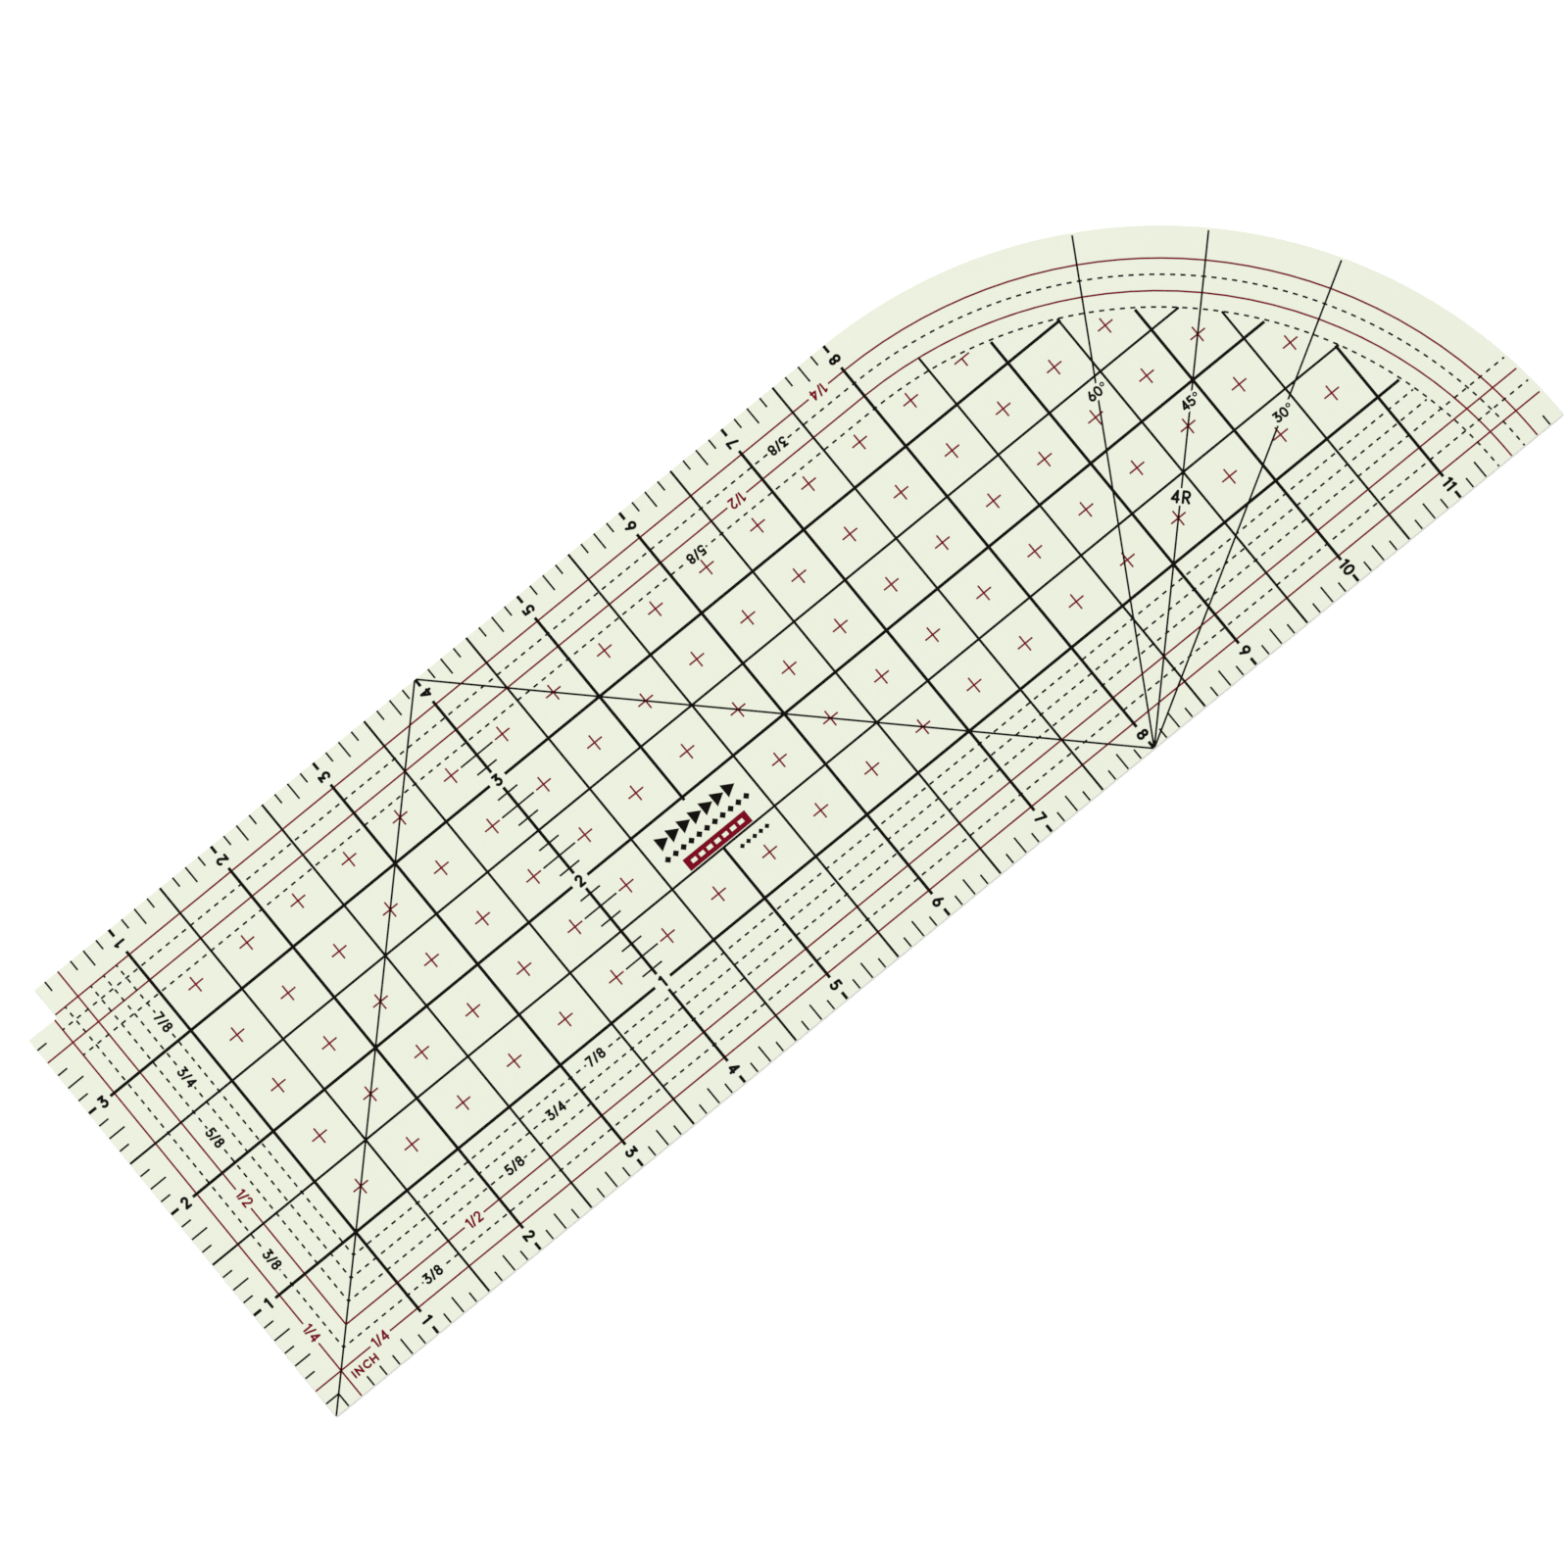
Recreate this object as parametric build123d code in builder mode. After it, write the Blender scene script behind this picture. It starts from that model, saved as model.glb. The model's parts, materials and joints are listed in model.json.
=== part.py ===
from build123d import *
import os
from math import atan2, cos, degrees, hypot, radians, sin, sqrt

# Quilting ruler: a thin heat-resistant laminate sheet with one quarter-round end, printed with
# an inch grid, edge scales, seam lines, corner diagonals and angle rays. Each printed family is
# a film of ink standing on the sheet. Places on the print are in inches from the zero corner.

# ---------- driving dimensions, mm ----------
inch = 25.4
sheet_length = 12 * inch
sheet_width = 4 * inch
sheet_thickness = 0.5
notch = 7.0                      # square corner notch at the seam-line corner
edge_break = 0.06                # tiny chamfer round the cut edge
ink_thickness = 0.03

# line weights, mm
bold_pen = 0.61
half_pen = 0.47
fine_pen = 0.36
dash_pen = 0.36
red_pen = 0.33

# ---------- layout of the print, inches ----------
arc_centre = 8                   # the round end and every seam arc turn about (8, 0)
arc_radius = 4
grid_radius = 3.36               # whole-inch lines stop just inside the innermost seam arc
ray_radius = 3.98
whole_start = 0.212              # whole-inch lines start beyond the edge numerals
whole_end = 3.783
badge_low = 1.5                  # the line x = 5 leaves this stretch free for the badge
badge_high = 1.972
numeral_gap = 0.073              # half the break in the lines round a centre numeral
centre_line = 4                  # the vertical line that carries the centre scale

eighth = 1 / 8
short_tick = 0.092
long_tick = 0.15
whole_tick_bottom = 0.068
whole_tick_left = 0.073
whole_tick_top = 0.07
centre_short_tick = 0.095        # half lengths of the ticks across the centre line
centre_long_tick = 0.155

dash_pitch = 2.0                 # mm
dash_share = 0.5                 # inked share of each pitch
cross_arm = 0.142                # tip to tip
dashed_seams = (0.375, 0.625, 0.75, 0.875)
top_dashed_radii = (3.375, 3.625)
top_solid_radii = (3.5, 3.75)
ray_angles = (30, 45, 60)

# ---------- the plain badge in the middle of the grid, inches ----------
badge_x = 5
geese_y = 1.83                   # a row of triangles, like the flying geese of a quilt border
geese_count = 7
geese_pitch = 0.108
geese_length = 0.100
geese_height = 0.119
beads_y = 1.697                  # a row of small diamonds under it
beads_count = 11
beads_pitch = 0.0765
bead_side = 0.042
tail_x, tail_y = 5.24, 1.418     # a short row of smaller diamonds below the bar
tail_count = 5
tail_pitch = 0.06
tail_side = 0.032
bar_y = 1.57                     # the dark red bar
bar_length = 0.603
bar_height = 0.107
stitch_count = 7                 # the running stitch left open along the bar
stitch_pitch = 0.076
stitch_length = 0.048
stitch_height = 0.034

# ---------- lettering ----------
label_margin = 0.35              # mm of clear space between a label and a dashed line or a ray
red_label_margin = 0.65          # mm of clear space between a label and a solid seam line

# text, x, y (inches), turn (degrees)
bottom_labels = [
    ("3/8", 1.25, 0.377, 0),
    ("5/8", 2.25, 0.627, 0),
    ("3/4", 2.756, 0.752, 0),
    ("7/8", 3.244, 0.877, 0),
]
left_labels = [
    ("3/8", 0.378, 1.243, -90),
    ("5/8", 0.628, 2.243, -90),
    ("3/4", 0.753, 2.74, -90),
    ("7/8", 0.878, 3.183, -90),
]
top_labels = [
    ("3/8", 7.25, 3.623, 180),
    ("5/8", 6.25, 3.373, 180),
]
red_labels = [
    ("1/4", 0.632, 0.25, 0),
    ("1/2", 1.753, 0.5, 0),
    ("1/4", 0.258, 0.617, -90),
    ("1/2", 0.51, 1.743, -90),
    ("1/4", 7.751, 3.75, 180),
    ("1/2", 6.75, 3.498, 180),
]
angle_labels = [
    ("60°", 9.381, 2.395, 0),
    ("45°", 9.880, 1.885, 0),
    ("30°", 10.37, 1.368, 0),
]
radius_label = ("4R", 9.366, 1.364, -45)
unit_label = ("INCH", 0.415, 0.163, 0)

# width of each character's centre line, for a centre line one unit tall
character_widths = {
    "0": 0.62, "1": 0.22, "2": 0.52, "3": 0.54, "4": 0.58, "5": 0.52, "6": 0.58,
    "7": 0.54, "8": 0.56, "9": 0.58, "/": 0.34, "°": 0.32, "R": 0.54,
    "I": 0.0, "N": 0.78, "C": 0.76, "H": 0.76,
}


def at(x, y):
    """Sheet position in mm, from the sheet's centre, of a place in inches from the zero corner."""
    return (x * inch - sheet_length / 2, y * inch - sheet_width / 2)


def arc_reach(y, radius):
    """How far along the ruler, in inches, a line at height y runs before it meets an arc."""
    return arc_centre + sqrt(radius**2 - y**2)


def arc_height(x, radius):
    """How high, in inches, a line at x runs before it meets an arc about the round end's centre."""
    return sqrt(radius**2 - (x - arc_centre) ** 2)


# ---------- pen strokes, drawn inside the sketch that is being built ----------
def ruled(x0, y0, x1, y1, pen):
    """A straight line of ink between two places in inches."""
    start, end = at(x0, y0), at(x1, y1)
    run, rise = end[0] - start[0], end[1] - start[1]
    middle = ((start[0] + end[0]) / 2, (start[1] + end[1]) / 2)
    with Locations(middle):
        Rectangle(hypot(run, rise), pen, rotation=degrees(atan2(rise, run)))


def dashed(x0, y0, x1, y1):
    """A dashed line in a whole number of pitches, with half a dash at each end."""
    length = hypot(x1 - x0, y1 - y0) * inch
    pitches = round(length / dash_pitch)
    pitch = length / pitches
    dash = dash_share * pitch
    middle = at((x0 + x1) / 2, (y0 + y1) / 2)
    angle = degrees(atan2(y1 - y0, x1 - x0))
    with Locations(Location(middle, angle)):
        with GridLocations(pitch, pitch, pitches - 1, 1):
            Rectangle(dash, dash_pen)
        with GridLocations(length - dash / 2, pitch, 2, 1):
            Rectangle(dash / 2, dash_pen)


def dashed_arc(radius):
    """A dashed quarter arc about the round end's centre, with a dash centred on each end."""
    length = radius * inch * radians(90)
    pitches = round(length / dash_pitch)
    dash = dash_share * length / pitches
    with Locations(at(arc_centre, 0)):
        with PolarLocations(radius * inch, pitches + 1, angular_range=90, endpoint=True):
            Rectangle(dash_pen, dash)


def solid_arc(radius, pen):
    """A solid quarter arc about the round end's centre."""
    with BuildLine() as band:
        outer = CenterArc(at(arc_centre, 0), radius * inch + pen / 2, 0, 90)
        inner = CenterArc(at(arc_centre, 0), radius * inch - pen / 2, 0, 90)
        Line(outer @ 0, inner @ 0)
        Line(outer @ 1, inner @ 1)
    make_face(band.edges())


# ---------- lettering ----------
def ring(x, y, half_width, half_height, pen):
    """An oval stroke about (x, y)."""
    with Locations((x, y)):
        Ellipse(half_width + pen / 2, half_height + pen / 2)
        Ellipse(half_width - pen / 2, half_height - pen / 2, mode=Mode.SUBTRACT)


def polyline_stroke(pen, *points):
    """An open stroke through straight runs."""
    with BuildLine() as outline:
        Polyline(*points)
        offset(amount=pen / 2)
    make_face(outline.edges())


def character_shape(character, pen):
    """One character whose centre line is one unit tall, standing on the origin."""
    with BuildSketch() as shape:
        if character == "0":
            ring(0.31, 0.5, 0.31, 0.5, pen)
        elif character == "1":
            polyline_stroke(pen, (0, 0.86), (0.22, 1), (0.22, 0))
        elif character == "2":
            with BuildLine():
                hook = CenterArc((0.26, 0.74), 0.26, 165, -195)
                Polyline(hook @ 1, (0, 0), (0.52, 0))
                offset(amount=pen / 2)
            make_face()
        elif character == "3":
            with BuildLine():
                bowl = CenterArc((0.24, 0.3), 0.3, 112, -262)
                Polyline(bowl @ 0, (0.5, 1), (0.02, 1))
                offset(amount=pen / 2)
            make_face()
        elif character == "4":
            polyline_stroke(pen, (0.58, 0.26), (0, 0.26), (0.46, 1))
            polyline_stroke(pen, (0.46, 0), (0.46, 1))
        elif character == "5":
            with BuildLine():
                bowl = CenterArc((0.22, 0.3), 0.3, 128, -278)
                Polyline(bowl @ 0, (0.08, 1), (0.48, 1))
                offset(amount=pen / 2)
            make_face()
        elif character == "6":
            ring(0.29, 0.29, 0.29, 0.29, pen)
            polyline_stroke(pen, (0.035, 0.43), (0.38, 1))
        elif character == "7":
            polyline_stroke(pen, (0, 1), (0.54, 1), (0.14, 0))
        elif character == "8":
            ring(0.28, 0.27, 0.28, 0.27, pen)
            ring(0.28, 0.77, 0.24, 0.23, pen)
        elif character == "9":
            ring(0.29, 0.71, 0.29, 0.29, pen)
            polyline_stroke(pen, (0.545, 0.57), (0.2, 0))
        elif character == "/":
            polyline_stroke(pen, (0, -0.02), (0.34, 1.02))
        elif character == "°":
            ring(0.20, 0.82, 0.19, 0.19, 0.6 * pen)
        elif character == "R":
            polyline_stroke(pen, (0, 0), (0, 1))
            with BuildLine():
                bowl = CenterArc((0.28, 0.73), 0.27, 90, -180)
                Line(bowl @ 0, (0, 1))
                Line(bowl @ 1, (0, 0.46))
                offset(amount=pen / 2)
            make_face()
            polyline_stroke(pen, (0.26, 0.46), (0.54, 0))
        elif character == "I":
            polyline_stroke(pen, (0, 0), (0, 1))
        elif character == "N":
            polyline_stroke(pen, (0, 0), (0, 1), (0.78, 0), (0.78, 1))
        elif character == "C":
            with BuildLine():
                CenterArc((0.5, 0.5), 0.5, 48, 264)
                offset(amount=pen / 2)
            make_face()
        elif character == "H":
            polyline_stroke(pen, (0, 0), (0, 1))
            polyline_stroke(pen, (0.76, 0), (0.76, 1))
            polyline_stroke(pen, (0, 0.5), (0.76, 0.5))
    return shape.sketch


class Lettering:
    """One size of lettering, in mm, with the characters it needs drawn once."""

    def __init__(self, characters, height, pen, gap):
        self.height = height
        self.pen = pen
        self.gap = gap
        self.rise = height - pen         # height of a character's centre line
        self.shapes = {c: scale(character_shape(c, pen / self.rise), by=self.rise) for c in characters}

    def advance(self, character):
        """Width of one character over its stroke."""
        return character_widths[character] * self.rise + self.pen

    def width(self, text):
        """Width of a line of text over its outer strokes."""
        return sum(self.advance(c) for c in text) + self.gap * (len(text) - 1)


def letter(text, x, y, turn, style):
    """Ink a short text centred on a place in inches, turned by an angle."""
    middle = at(x, y)
    c, s = cos(radians(turn)), sin(radians(turn))
    along = (style.pen - style.width(text)) / 2
    up = -style.rise / 2
    for character in text:
        with Locations((middle[0] + along * c - up * s, middle[1] + along * s + up * c)):
            add(style.shapes[character], rotation=turn)
        along += style.advance(character) + style.gap


def clearing(text, x, y, turn, style, margin):
    """A blank patch round a label, where the ruled lines are interrupted."""
    with Locations(at(x, y)):
        Rectangle(style.width(text) + 2 * margin, style.height + 2 * margin, rotation=turn)


# ---------- the sheet ----------
def sheet_outline():
    """The sheet's outline: straight sides, a quarter-round end and the corner notch."""
    with BuildLine() as outline:
        bottom = Line(at(0, 0), at(12, 0))
        round_end = CenterArc(at(arc_centre, 0), arc_radius * inch, 0, 90)
        notch_top = (-sheet_length / 2 + notch, sheet_width / 2)
        notch_low = (-sheet_length / 2, sheet_width / 2 - notch)
        Polyline(
            round_end @ 1,
            notch_top,
            (notch_top[0], notch_low[1]),
            notch_low,
            bottom @ 0,
        )
    make_face(outline.edges())


with BuildPart() as ruler_sheet:
    with BuildSketch():
        sheet_outline()
    extrude(amount=sheet_thickness)
    rims = ruler_sheet.faces().filter_by(Axis.Z)
    chamfer(rims.edges(), length=edge_break)

# the print stops where the edge break starts
with BuildSketch() as print_area:
    sheet_outline()
    offset(amount=-edge_break, kind=Kind.INTERSECTION)

numeral_style = Lettering("0123456789", height=2.5, pen=0.54, gap=0.22)
label_style = Lettering("03456789/°", height=2.2, pen=0.44, gap=0.10)
radius_style = Lettering("4R", height=2.7, pen=0.50, gap=0.40)
red_label_style = Lettering("124/", height=2.25, pen=0.39, gap=0.10)
unit_style = Lettering("INCH", height=1.78, pen=0.39, gap=0.38)

# blank patches round the labels, for the dashed lines, the solid seam lines and the rays
with BuildSketch() as dash_clearings:
    for label in bottom_labels + left_labels + top_labels:
        clearing(*label, label_style, label_margin)
with BuildSketch() as line_clearings:
    for label in red_labels:
        clearing(*label, red_label_style, red_label_margin)
with BuildSketch() as ray_clearings:
    for label in angle_labels:
        clearing(*label, label_style, label_margin)
    clearing(*radius_label, radius_style, label_margin)


# ---------- black grid ----------
def whole_inch_lines():
    for x in range(1, 12):
        top = whole_end if x <= arc_centre else arc_height(x, grid_radius)
        ruled(x, whole_start, x, top, bold_pen)
    for y in (1, 2, 3):
        ruled(whole_start, y, arc_reach(y, grid_radius), y, bold_pen)
        with Locations(at(centre_line, y)):
            Rectangle(2 * numeral_gap * inch, 2 * numeral_gap * inch, mode=Mode.SUBTRACT)
    with Locations(at(badge_x, (badge_low + badge_high) / 2)):
        Rectangle(2 * bold_pen, (badge_high - badge_low) * inch, mode=Mode.SUBTRACT)


def half_inch_lines():
    reach = top_dashed_radii[0]
    for step in range(7):
        ruled(step + 1.5, 0, step + 1.5, 4, half_pen)
    ruled(8.5, 0, 8.5, arc_height(8.5, top_solid_radii[0]), half_pen)
    for x in (9.5, 10.5):
        ruled(x, 0, x, arc_height(x, reach), half_pen)
    for y in (1.5, 2.5):
        ruled(0, y, arc_reach(y, reach), y, half_pen)


def corner_diagonals():
    ruled(0, 0, 4, 4, fine_pen)
    ruled(4, 4, 8, 0, fine_pen)


def angle_rays():
    for angle in ray_angles:
        reach_x = ray_radius * cos(radians(angle))
        reach_y = ray_radius * sin(radians(angle))
        ruled(arc_centre, 0, arc_centre + reach_x, reach_y, fine_pen)
    add(ray_clearings.sketch, mode=Mode.SUBTRACT)


# ---------- edge and centre scales ----------
def tick_length(position):
    """Quarter marks are long and eighth marks short."""
    return long_tick if position % 0.25 == 0 else short_tick


def bottom_ticks():
    """Ticks wherever no grid line or seam arc already comes down to the edge."""
    grid_feet = {inches + 0.5 for inches in range(1, 11)}
    arc_feet = {arc_centre + radius for radius in top_dashed_radii + top_solid_radii}
    for step in range(3, 96):
        x = step * eighth
        if x % 1 == 0:
            ruled(x, 0, x, whole_tick_bottom, bold_pen)
        elif x == 0.5:
            ruled(x, 0, x, short_tick, fine_pen)
        elif x not in grid_feet | arc_feet:
            ruled(x, 0, x, tick_length(x), fine_pen)
    ruled(eighth, 0, eighth, eighth, fine_pen)


def left_ticks():
    """Ticks wherever no grid line or seam line already comes out to the edge."""
    for step in range(3, 30):
        y = step * eighth
        if y % 1 == 0:
            ruled(0, y, whole_tick_left, y, bold_pen)
        elif y not in (1.5, 2.5, 3.5):
            ruled(0, y, tick_length(y), y, fine_pen)
    ruled(0, eighth, eighth, eighth, fine_pen)


def top_ticks():
    for step in range(3, 65):
        x = step * eighth
        if x % 1 == 0:
            ruled(x, 4 - whole_tick_top, x, 4, bold_pen)
        elif x % 1 != 0.5:
            ruled(x, 4 - tick_length(x), x, 4, fine_pen)


def centre_ticks():
    for step in range(9, 27):
        y = step * eighth
        if y % 0.5 != 0:
            reach = centre_long_tick if y % 0.25 == 0 else centre_short_tick
            ruled(centre_line - reach, y, centre_line + reach, y, fine_pen)


# ---------- seam lines ----------
def bottom_dashes():
    ends = {
        0.375: arc_reach(0.375, ray_radius),
        0.625: arc_reach(0.625, ray_radius),
        0.75: arc_reach(0.75, grid_radius),
        0.875: arc_reach(0.875, grid_radius),
    }
    for y in dashed_seams:
        dashed(y, y, ends[y], y)
    add(dash_clearings.sketch, mode=Mode.SUBTRACT)


def left_dashes():
    for x in dashed_seams:
        dashed(x, x, x, 3.75)
    add(dash_clearings.sketch, mode=Mode.SUBTRACT)


def top_dashes():
    for radius in top_dashed_radii:
        dashed(0.25, radius, arc_centre, radius)
        dashed_arc(radius)
    add(dash_clearings.sketch, mode=Mode.SUBTRACT)


def red_straight_seams():
    ruled(0, 0.25, arc_reach(0.25, ray_radius), 0.25, red_pen)
    ruled(0.5, 0.5, arc_reach(0.5, ray_radius), 0.5, red_pen)
    ruled(0.25, 0, 0.25, 4, red_pen)
    ruled(0.5, 0.5, 0.5, 4, red_pen)
    add(line_clearings.sketch, mode=Mode.SUBTRACT)


def red_round_seams():
    for radius in top_solid_radii:
        ruled(0, radius, arc_centre, radius, red_pen)
        solid_arc(radius, red_pen)
    add(line_clearings.sketch, mode=Mode.SUBTRACT)


def inside_grid(x, y, radius):
    """Whether a place lies left of the round end or within an arc of it."""
    return x < arc_centre or hypot(x - arc_centre, y) < radius


def red_crosses():
    """A cross in the middle of each half-inch cell; an arm that would pass the inner dashes is left out."""
    arm = cross_arm / 2
    for row in range(5):
        y = 1.25 + row / 2
        for column in range(20):
            x = 1.25 + column / 2
            under_badge = y == 1.75 and abs(x - badge_x) < 0.5
            if inside_grid(x, y, grid_radius) and not under_badge:
                top = y + arm if inside_grid(x, y + arm, top_dashed_radii[0]) else y
                ruled(x - arm, y, x + arm, y, red_pen)
                ruled(x, y - arm, x, top, red_pen)


# ---------- numerals and labels ----------
def bottom_numerals():
    for value in range(1, 12):
        letter(str(value), value, 0.14, -90, numeral_style)


def top_numerals():
    for value in range(1, 9):
        letter(str(value), value, 3.86, 90, numeral_style)


def left_numerals():
    for value in (1, 2, 3):
        letter(str(value), 0.143, value, 0, numeral_style)


def centre_numerals():
    for value in (1, 2, 3):
        letter(str(value), centre_line, value, 0, numeral_style)


def labels(texts, style):
    for label in texts:
        letter(*label, style)


# ---------- the plain badge ----------
def row(x, y, pitch, count):
    """Evenly spaced places in a row centred on a place in inches."""
    first = x - pitch * (count - 1) / 2
    return [at(first + pitch * step, y) for step in range(count)]


def badge_pattern():
    """A row of triangles pointing along the ruler, over two rows of small diamonds."""
    half_length, half_height = geese_length * inch / 2, geese_height * inch / 2
    corners = [(-half_length, -half_height), (half_length, 0), (-half_length, half_height)]
    with Locations(*row(badge_x, geese_y, geese_pitch, geese_count)):
        Polygon(*corners, align=None)
    with Locations(*row(badge_x, beads_y, beads_pitch, beads_count)):
        Rectangle(bead_side * inch, bead_side * inch, rotation=45)
    with Locations(*row(tail_x, tail_y, tail_pitch, tail_count)):
        Rectangle(tail_side * inch, tail_side * inch, rotation=45)


def badge_bar():
    """A dark red bar with a running stitch left open along its middle."""
    with Locations(at(badge_x, bar_y)):
        Rectangle(bar_length * inch, bar_height * inch)
    with Locations(*row(badge_x, bar_y, stitch_pitch, stitch_count)):
        Rectangle(stitch_length * inch, stitch_height * inch, mode=Mode.SUBTRACT)


# ---------- ink films, cut so that no two overlap ----------
inked = []


def print_film(name, draw, *arguments):
    """Make one printed family as a film on the sheet, clear of the families printed before it."""
    with BuildPart() as film:
        with BuildSketch(Plane.XY.offset(sheet_thickness)) as pattern:
            draw(*arguments)
            add(print_area.sketch, mode=Mode.INTERSECT)
            if inked:
                add(inked, mode=Mode.SUBTRACT)
        extrude(amount=ink_thickness)
    inked.append(pattern.sketch_local)
    film.part.label = name
    export_step(film.part, f"parts/{name}.step")


os.makedirs("parts", exist_ok=True)
ruler_sheet.part.label = "ruler_sheet"
export_step(ruler_sheet.part, "parts/ruler_sheet.step")

print_film("inch_grid_lines", whole_inch_lines)
print_film("half_inch_grid_lines", half_inch_lines)
print_film("corner_diagonals", corner_diagonals)
print_film("angle_rays", angle_rays)
print_film("bottom_edge_ticks", bottom_ticks)
print_film("left_edge_ticks", left_ticks)
print_film("top_edge_ticks", top_ticks)
print_film("centre_scale_ticks", centre_ticks)
print_film("bottom_seam_dashes", bottom_dashes)
print_film("left_seam_dashes", left_dashes)
print_film("top_seam_dashes", top_dashes)
print_film("bottom_inch_numerals", bottom_numerals)
print_film("top_inch_numerals", top_numerals)
print_film("left_inch_numerals", left_numerals)
print_film("centre_scale_numerals", centre_numerals)
print_film("bottom_fraction_labels", labels, bottom_labels, label_style)
print_film("left_fraction_labels", labels, left_labels, label_style)
print_film("top_fraction_labels", labels, top_labels, label_style)
print_film("angle_labels", labels, angle_labels, label_style)
print_film("radius_label", letter, *radius_label, radius_style)
print_film("badge_pattern", badge_pattern)
print_film("badge_red_bar", badge_bar)
print_film("red_straight_seam_lines", red_straight_seams)
print_film("red_round_seam_lines", red_round_seams)
print_film("red_cell_crosses", red_crosses)
print_film("red_fraction_labels", labels, red_labels, red_label_style)
print_film("red_unit_label", letter, *unit_label, unit_style)
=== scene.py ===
import json
from math import cos, pi, radians, sin

import bmesh
import bpy
from mathutils import Matrix, Vector


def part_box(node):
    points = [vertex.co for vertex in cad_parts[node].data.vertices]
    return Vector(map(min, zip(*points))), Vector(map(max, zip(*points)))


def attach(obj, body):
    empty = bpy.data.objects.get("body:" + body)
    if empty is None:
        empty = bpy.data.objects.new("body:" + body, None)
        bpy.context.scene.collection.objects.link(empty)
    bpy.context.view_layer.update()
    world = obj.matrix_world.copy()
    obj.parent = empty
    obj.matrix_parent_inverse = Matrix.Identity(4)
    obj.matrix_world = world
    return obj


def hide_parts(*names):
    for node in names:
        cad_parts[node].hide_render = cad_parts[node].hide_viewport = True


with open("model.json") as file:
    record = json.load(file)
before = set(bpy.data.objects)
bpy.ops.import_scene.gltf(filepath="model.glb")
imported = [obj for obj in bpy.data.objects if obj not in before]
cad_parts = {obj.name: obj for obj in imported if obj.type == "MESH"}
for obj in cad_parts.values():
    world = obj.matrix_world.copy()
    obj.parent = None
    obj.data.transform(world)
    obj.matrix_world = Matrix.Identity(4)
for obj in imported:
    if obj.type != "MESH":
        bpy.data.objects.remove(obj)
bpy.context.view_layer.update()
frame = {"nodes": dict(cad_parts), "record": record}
sheet_low, sheet_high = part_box("ruler_sheet")

# ---------- sizes, metres ----------
inch = (sheet_high.x - sheet_low.x) / 12
end_radius = 4 * inch
notch = 0.007
edge_round = 0.00009             # rounding of the cut edge
edge_steps = 3
end_steps = 96                   # straight facets round the quarter circle
flat_tolerance = 1e-9            # an edge lies level if its ends differ less than this in height
upright = 0.999                  # a face belongs to the top or underside above this normal height
floor_gap = 0.0001               # the floor lies this far under the sheet
floor_reach = 40.0

# ---------- surfaces ----------
weave_pitch = 0.00062            # one thread of the glass cloth inside the laminate
weave_depth = 0.00002
weave_strength = 0.06
mottle_size = 0.03               # the slow change of tone across the sheet
sheet_grain = 0.0009
sheet_tones = (0.732, 0.763, 0.640), (0.748, 0.775, 0.654)
sheet_roughness = 0.42, 0.55
sheet_specular = 0.35

ply_count = 4                    # layers of cloth that show on the cut edge
edge_grain = 0.0004
# the plies' own banding on the cut edge, in tones painted lighter than the top face: painted light
# against the edge's shade
edge_ply_tones_painted_bright = (0.78, 0.81, 0.68), (0.90, 0.92, 0.82)
edge_roughness = 0.55, 0.8

ink_patch = 0.0012               # the size of the patches where the ink lies thinner
ink_tooth = 0.0003
ink_depth = 0.00001
ink_strength = 0.15
ink_roughness = 0.6, 0.8
ink_specular = 0.04
black_tones = (0.0030, 0.0025, 0.0015), (0.0060, 0.0050, 0.0030)     # full ink, thin ink
red_tones = (0.175, 0.0008, 0.0110), (0.205, 0.0015, 0.0140)

paper_fibre = 0.004
paper_tones = (0.97, 0.97, 0.97), (0.98, 0.98, 0.98)
paper_roughness = 0.9
paper_specular = 0.1

wave_period = 2 * pi / 20        # metres from crest to crest of a wave texture whose scale is 1

# ---------- the light ----------
surround_strength = 0.68
softbox_side = 2.4
softbox_energy = 42
softbox_place = Vector((-0.2, 0.9, 2.6))

# ---------- the view ----------
view_tilt = radians(8.892)       # how far the camera leans from straight above
view_heading = radians(5.07)     # which way it leans, turned from the ruler's own axes
view_roll = radians(34.24)       # how far the frame is turned about the line of sight
view_distance = 10.0
view_width = 0.3018              # width of the frame at the sheet
view_aim = Vector((-0.00861, -0.01056, sheet_high.z))
view_near = 1.0
view_far = 40.0
sensor = 36.0                    # millimetres


# ---------- shader helpers ----------
def new_material(name):
    """An empty node material with a Principled shader; returns it with its tree and shader."""
    material = bpy.data.materials.new(name)
    material.use_nodes = True
    tree = material.node_tree
    shader = next(n for n in tree.nodes if n.type == "BSDF_PRINCIPLED")
    return material, tree, shader


def add_node(tree, kind, **settings):
    """Add a node and set its properties or, where there is no such property, its inputs."""
    node = tree.nodes.new(kind)
    for key, value in settings.items():
        if hasattr(node, key):
            setattr(node, key, value)
        else:
            node.inputs[key.replace("_", " ").title()].default_value = value
    return node


def remap(tree, source, low, high):
    """A texture value from 0 to 1, taken to the range low to high."""
    node = add_node(tree, "ShaderNodeMapRange", to_min=low, to_max=high)
    tree.links.new(source, node.inputs["Value"])
    return node.outputs["Result"]


def blend_colours(tree, share, first, second):
    """A mix of two colours by a texture value."""
    node = add_node(tree, "ShaderNodeMix", data_type="RGBA")
    node.inputs["A"].default_value = (*first, 1)
    node.inputs["B"].default_value = (*second, 1)
    tree.links.new(share, node.inputs["Factor"])
    return node.outputs["Result"]


def object_noise(tree, place, size, detail):
    """Noise with features of a real size in metres."""
    node = add_node(tree, "ShaderNodeTexNoise", scale=1 / size, detail=detail)
    tree.links.new(place.outputs["Object"], node.inputs["Vector"])
    return node.outputs["Fac"]


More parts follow.
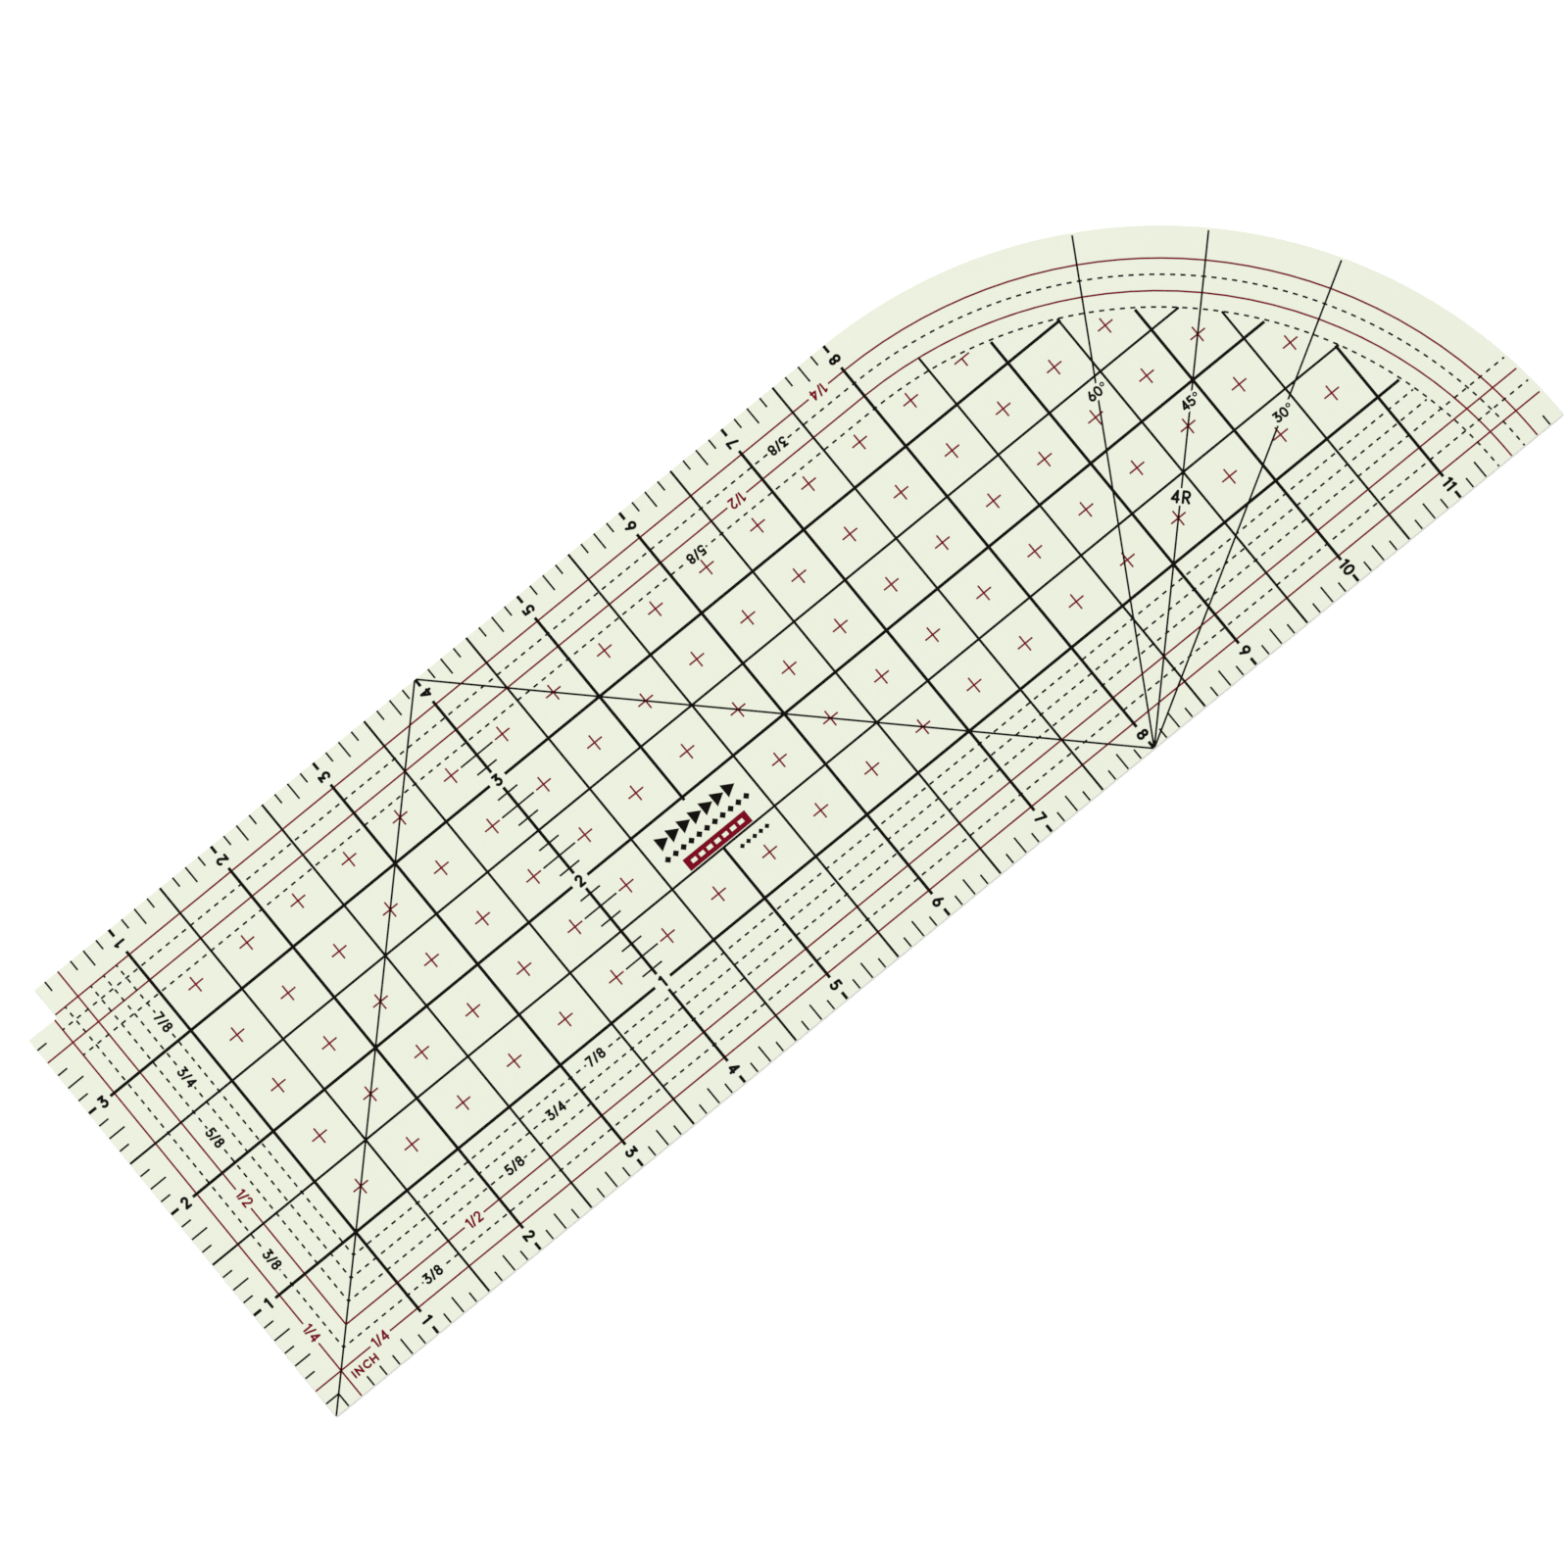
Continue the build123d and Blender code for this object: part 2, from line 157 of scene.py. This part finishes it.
def object_wave(tree, place, direction, pitch, **settings):
    """Bands across one direction, a real pitch in metres apart."""
    node = add_node(
        tree,
        "ShaderNodeTexWave",
        bands_direction=direction,
        scale=wave_period / pitch,
        **settings,
    )
    tree.links.new(place.outputs["Object"], node.inputs["Vector"])
    return node.outputs["Fac"]


def emboss(tree, shader, height, strength, depth):
    """Raise the shaded surface by a texture value, up to a depth in metres."""
    bump = add_node(tree, "ShaderNodeBump", strength=strength, distance=depth)
    tree.links.new(height, bump.inputs["Height"])
    tree.links.new(bump.outputs["Normal"], shader.inputs["Normal"])


# ---------- materials ----------
def laminate_material():
    """Pale green-white glass-fibre laminate with a satin face and a faint cloth weave."""
    material, tree, shader = new_material("laminate")
    place = add_node(tree, "ShaderNodeTexCoord")
    mottle = object_noise(tree, place, mottle_size, detail=3)
    colour = blend_colours(tree, mottle, *sheet_tones)
    tree.links.new(colour, shader.inputs["Base Color"])

    grain = object_noise(tree, place, sheet_grain, detail=2)
    tree.links.new(remap(tree, grain, *sheet_roughness), shader.inputs["Roughness"])
    shader.inputs["Specular IOR Level"].default_value = sheet_specular

    warp = object_wave(tree, place, "X", weave_pitch, distortion=0.6, detail=1.0)
    weft = object_wave(tree, place, "Y", weave_pitch, distortion=0.6, detail=1.0)
    cloth = add_node(tree, "ShaderNodeMath", operation="MAXIMUM")
    tree.links.new(warp, cloth.inputs[0])
    tree.links.new(weft, cloth.inputs[1])
    emboss(tree, shader, cloth.outputs["Value"], weave_strength, weave_depth)
    return material


def cut_edge_material():
    """The sheet's cut edge, where the layers of cloth show as fine lines round the rim. Its tones are
    painted lighter than the top face: painted light that offsets the shade the upright edge gets.
    """
    material, tree, shader = new_material("laminate_cut_edge_painted_bright")
    place = add_node(tree, "ShaderNodeTexCoord")
    plies = object_wave(tree, place, "Z", sheet_high.z / ply_count)
    # ply bands round the rim, in tones painted light to hide the shade on the upright edge
    colour = blend_colours(tree, plies, *edge_ply_tones_painted_bright)
    tree.links.new(colour, shader.inputs["Base Color"])
    grain = object_noise(tree, place, edge_grain, detail=2)
    tree.links.new(remap(tree, grain, *edge_roughness), shader.inputs["Roughness"])
    return material


def ink_material(name, tones):
    """Screen-printed ink: a matte film whose depth of colour varies a little across the print."""
    material, tree, shader = new_material(name)
    place = add_node(tree, "ShaderNodeTexCoord")
    deposit = object_noise(tree, place, ink_patch, detail=3)
    tree.links.new(blend_colours(tree, deposit, *tones), shader.inputs["Base Color"])
    tooth = object_noise(tree, place, ink_tooth, detail=2)
    tree.links.new(remap(tree, tooth, *ink_roughness), shader.inputs["Roughness"])
    shader.inputs["Specular IOR Level"].default_value = ink_specular
    emboss(tree, shader, tooth, ink_strength, ink_depth)
    return material


def floor_material():
    """Plain near-white studio paper."""
    material, tree, shader = new_material("studio_paper")
    place = add_node(tree, "ShaderNodeTexCoord")
    fibre = object_noise(tree, place, paper_fibre, detail=2)
    colour = blend_colours(tree, fibre, *paper_tones)
    tree.links.new(colour, shader.inputs["Base Color"])
    shader.inputs["Roughness"].default_value = paper_roughness
    shader.inputs["Specular IOR Level"].default_value = paper_specular
    return material


# ---------- the sheet ----------
def sheet_outline():
    """Corner points of the sheet, anticlockwise from the zero corner, with the round end as facets."""
    low, high = sheet_low, sheet_high
    centre = Vector((high.x - end_radius, low.y))
    outline = [Vector((low.x, low.y))]
    for step in range(end_steps + 1):
        angle = pi / 2 * step / end_steps
        outline.append(centre + end_radius * Vector((cos(angle), sin(angle))))
    outline.append(Vector((low.x + notch, high.y)))
    outline.append(Vector((low.x + notch, high.y - notch)))
    outline.append(Vector((low.x, high.y - notch)))
    return outline


def sheet_mesh():
    """The sheet as a closed mesh whose cut edge is gently rounded at the top and the bottom."""
    mesh = bpy.data.meshes.new("laminate_sheet")
    build = bmesh.new()
    foot = [build.verts.new((p.x, p.y, sheet_low.z)) for p in sheet_outline()]
    underside = build.faces.new(foot)
    raised = bmesh.ops.extrude_face_region(build, geom=[underside])
    corners = [v for v in raised["geom"] if isinstance(v, bmesh.types.BMVert)]
    bmesh.ops.translate(build, verts=corners, vec=(0, 0, sheet_high.z - sheet_low.z))
    bmesh.ops.recalc_face_normals(build, faces=build.faces)
    rims = [e for e in build.edges if abs(e.verts[0].co.z - e.verts[1].co.z) < flat_tolerance]
    bmesh.ops.bevel(
        build,
        geom=rims,
        offset=edge_round,
        segments=edge_steps,
        profile=0.5,
        affect="EDGES",
        clamp_overlap=True,
    )
    for face in build.faces:
        face.smooth = True
        face.material_index = 0 if abs(face.normal.z) > upright else 1
    build.to_mesh(mesh)
    build.free()
    return mesh


def build_sheet():
    sheet = bpy.data.objects.new("laminate_sheet", sheet_mesh())
    bpy.context.scene.collection.objects.link(sheet)
    sheet.data.materials.append(laminate_material())
    sheet.data.materials.append(cut_edge_material())
    weighted = sheet.modifiers.new("even_normals", "WEIGHTED_NORMAL")
    weighted.keep_sharp = True
    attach(sheet, "root")
    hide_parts("ruler_sheet")


# ---------- the print ----------
def ink_the_print():
    """Give every printed film its ink, by the record's material slot."""
    inks = {
        "black_ink": ink_material("black_ink_film", black_tones),
        "red_ink": ink_material("red_ink_film", red_tones),
    }
    slots = {part["node"]: part["material_slot"] for part in frame["record"]["subparts"]}
    for name, node in frame["nodes"].items():
        if slots[name] in inks:
            node.data.materials.clear()
            node.data.materials.append(inks[slots[name]])


# ---------- studio ----------
def build_floor():
    build = bmesh.new()
    corners = [(-1, -1), (1, -1), (1, 1), (-1, 1)]
    build.faces.new([build.verts.new((x * floor_reach, y * floor_reach, 0)) for x, y in corners])
    mesh = bpy.data.meshes.new("studio_floor")
    build.to_mesh(mesh)
    build.free()
    floor = bpy.data.objects.new("studio_floor", mesh)
    floor.location.z = sheet_low.z - floor_gap
    bpy.context.scene.collection.objects.link(floor)
    floor.data.materials.append(floor_material())


def build_lights():
    """An even white surround and one broad soft light overhead."""
    world = bpy.data.worlds.new("studio")
    world.use_nodes = True
    background = next(n for n in world.node_tree.nodes if n.type == "BACKGROUND")
    background.inputs["Color"].default_value = (1, 1, 1, 1)
    background.inputs["Strength"].default_value = surround_strength
    bpy.context.scene.world = world

    lamp = bpy.data.lights.new("overhead_softbox", "AREA")
    lamp.shape = "RECTANGLE"
    lamp.size = softbox_side
    lamp.size_y = softbox_side
    lamp.energy = softbox_energy
    softbox = bpy.data.objects.new("overhead_softbox", lamp)
    softbox.location = softbox_place
    softbox.rotation_euler = (-softbox_place).to_track_quat("-Z", "Y").to_euler()
    bpy.context.scene.collection.objects.link(softbox)


def build_camera():
    """A very long lens, leaning a little from straight above and rolled about its line of sight."""
    along = Vector((cos(view_heading), -sin(view_heading), 0))
    across = Vector((sin(view_heading), cos(view_heading), 0))
    leaning = across * cos(view_tilt) + Vector((0, 0, 1)) * sin(view_tilt)
    right = along * cos(view_roll) - leaning * sin(view_roll)
    up = along * sin(view_roll) + leaning * cos(view_roll)
    back = right.cross(up)

    lens = bpy.data.cameras.new("camera")
    lens.sensor_width = sensor
    lens.lens = sensor * view_distance / view_width
    lens.clip_start = view_near
    lens.clip_end = view_far
    camera = bpy.data.objects.new("camera", lens)
    turn = Matrix((right, up, back)).transposed()
    camera.matrix_world = Matrix.Translation(view_aim + back * view_distance) @ turn.to_4x4()
    bpy.context.scene.collection.objects.link(camera)
    bpy.context.scene.camera = camera
    bpy.context.scene.view_settings.view_transform = "Standard"


build_camera()
build_lights()
build_floor()
build_sheet()
ink_the_print()
